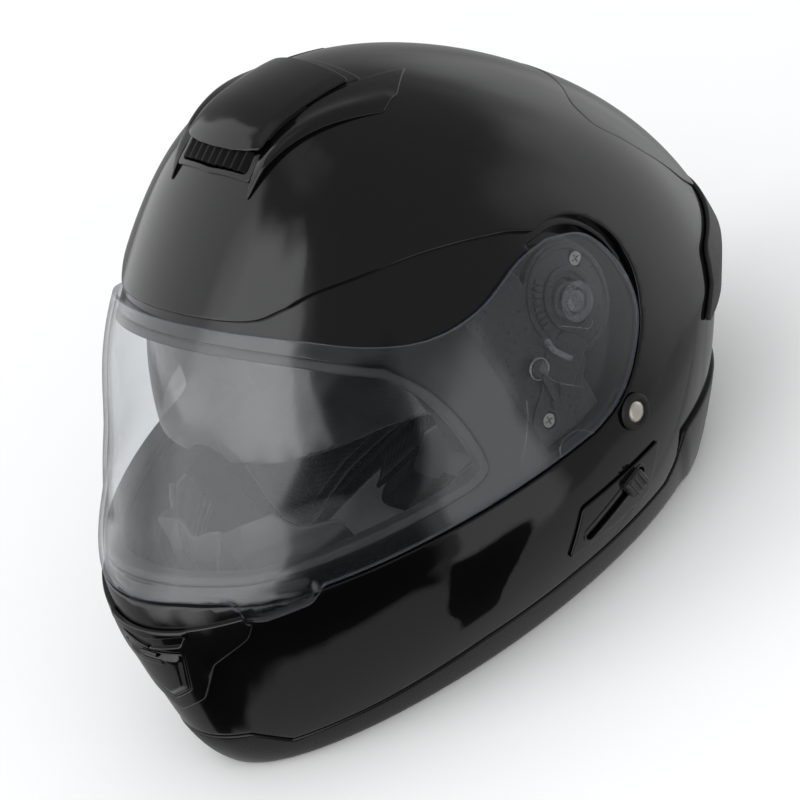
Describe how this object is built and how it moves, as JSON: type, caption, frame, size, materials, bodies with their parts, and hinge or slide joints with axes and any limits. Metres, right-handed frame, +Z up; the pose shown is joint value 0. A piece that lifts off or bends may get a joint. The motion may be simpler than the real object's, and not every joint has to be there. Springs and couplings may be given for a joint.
{
  "type": "full-face motorcycle helmet",
  "caption": "Full-face road helmet with a hinged clear visor, a drop-down tinted inner visor, sliding and hinged vents, foam and fabric lining and a buckled chin strap.",
  "frame": {"origin": "centre of the footprint of the whole helmet on the surface it rests on", "axes": "+Z up from the resting plane, the face opening looks towards -Y, +X is towards the wearer's left"},
  "size_m": [0.2466, 0.3596, 0.266],
  "materials": {
    "gloss_black_shell": "high gloss",
    "gloss_plastic": "high gloss",
    "satin_plastic": "satin",
    "rubber": "matte",
    "eps_foam": "matte",
    "lining_fabric": "brushed knit",
    "webbing": "woven",
    "clear_visor": "clear",
    "smoked_visor": "tinted",
    "steel": "plated",
    "spring_steel": "bright",
    "red_plastic": "satin"
  },
  "bodies": {
    "helmet_body": {"outer_shell": "gloss_black_shell", "bottom_trim": "rubber", "eyeport_seal": "rubber", "eps_liner": "eps_foam", "chin_eps": "eps_foam", "crown_liner": "lining_fabric", "cheek_pad_left": "lining_fabric", "cheek_pad_right": "lining_fabric", "neck_roll": "lining_fabric", "chin_curtain": "lining_fabric", "breath_guard": "satin_plastic", "base_plate_left": "satin_plastic", "base_plate_right": "satin_plastic", "base_plate_screws": "steel", "lever_springs": "spring_steel", "sun_pivot_left": "satin_plastic", "sun_pivot_right": "satin_plastic", "slider_panel": "gloss_plastic", "slider_cable": "rubber", "top_vent_housing": "gloss_plastic", "top_vent_grille": "satin_plastic", "chin_vent_surround": "gloss_plastic", "chin_vent_grille": "satin_plastic", "rear_spoiler": "gloss_plastic", "rear_vent_insert": "satin_plastic", "strap_left": "webbing", "strap_right": "webbing", "strap_pads": "lining_fabric", "strap_rivets": "steel", "rivet_rings": "satin_plastic", "anchor_plates": "steel", "buckle_receiver": "steel", "buckle_pin": "steel"},
    "visor": {"visor": "clear_visor"},
    "sun_visor": {"sun_visor": "smoked_visor"},
    "sun_visor_slider": {"sun_visor_slider": "satin_plastic"},
    "release_lever_left": {"release_lever_left": "satin_plastic"},
    "release_lever_right": {"release_lever_right": "satin_plastic"},
    "top_vent_cover": {"top_vent_cover": "gloss_plastic"},
    "chin_vent_flap": {"chin_vent_flap": "gloss_plastic"},
    "buckle_lever": {"buckle_lever": "red_plastic"},
    "buckle_tongue": {"buckle_tongue": "steel"}
  },
  "joints": [
    {"name": "visor_hinge", "type": "hinge", "parent": "helmet_body", "child": "visor", "pos_m": [0, 0.048, 0.13], "axis": [-1, 0, 0], "range_deg": [0, 44]},
    {"name": "sun_visor_hinge", "type": "hinge", "parent": "helmet_body", "child": "sun_visor", "pos_m": [0, 0.04, 0.104], "axis": [-1, 0, 0], "range_deg": [0, 34]},
    {"name": "sun_visor_slide", "type": "slide", "parent": "helmet_body", "child": "sun_visor_slider", "axis": [0, -0.9812, -0.1927], "range_m": [0, 0.028]},
    {"name": "release_lever_left_hinge", "type": "hinge", "parent": "helmet_body", "child": "release_lever_left", "pos_m": [0.113, 0.012, 0.119], "axis": [1, 0, 0], "range_deg": [0, 12], "stiffness_Nm_per_rad": 0.02},
    {"name": "release_lever_right_hinge", "type": "hinge", "parent": "helmet_body", "child": "release_lever_right", "pos_m": [-0.113, 0.012, 0.119], "axis": [1, 0, 0], "range_deg": [0, 12], "stiffness_Nm_per_rad": 0.02},
    {"name": "top_vent_slide", "type": "slide", "parent": "helmet_body", "child": "top_vent_cover", "axis": [0, 0.9806, 0.1961], "range_m": [0, 0.0075]},
    {"name": "chin_vent_hinge", "type": "hinge", "parent": "helmet_body", "child": "chin_vent_flap", "pos_m": [0, -0.1787, 0.0779], "axis": [-1, 0, 0], "range_deg": [0, 18]},
    {"name": "buckle_lever_hinge", "type": "hinge", "parent": "helmet_body", "child": "buckle_lever", "pos_m": [0.038, 0, 0.0131], "axis": [0, -1, 0], "range_deg": [0, 24], "stiffness_Nm_per_rad": 0.02},
    {"name": "buckle_tongue_slide", "type": "slide", "parent": "helmet_body", "child": "buckle_tongue", "axis": [-1, 0, 0], "range_m": [0, 0.012], "deforming": ["strap_right"]}
  ],
  "couplings": [
    {"joint": "sun_visor_hinge", "follows": "sun_visor_slide", "rad_per_m": 21}
  ]
}
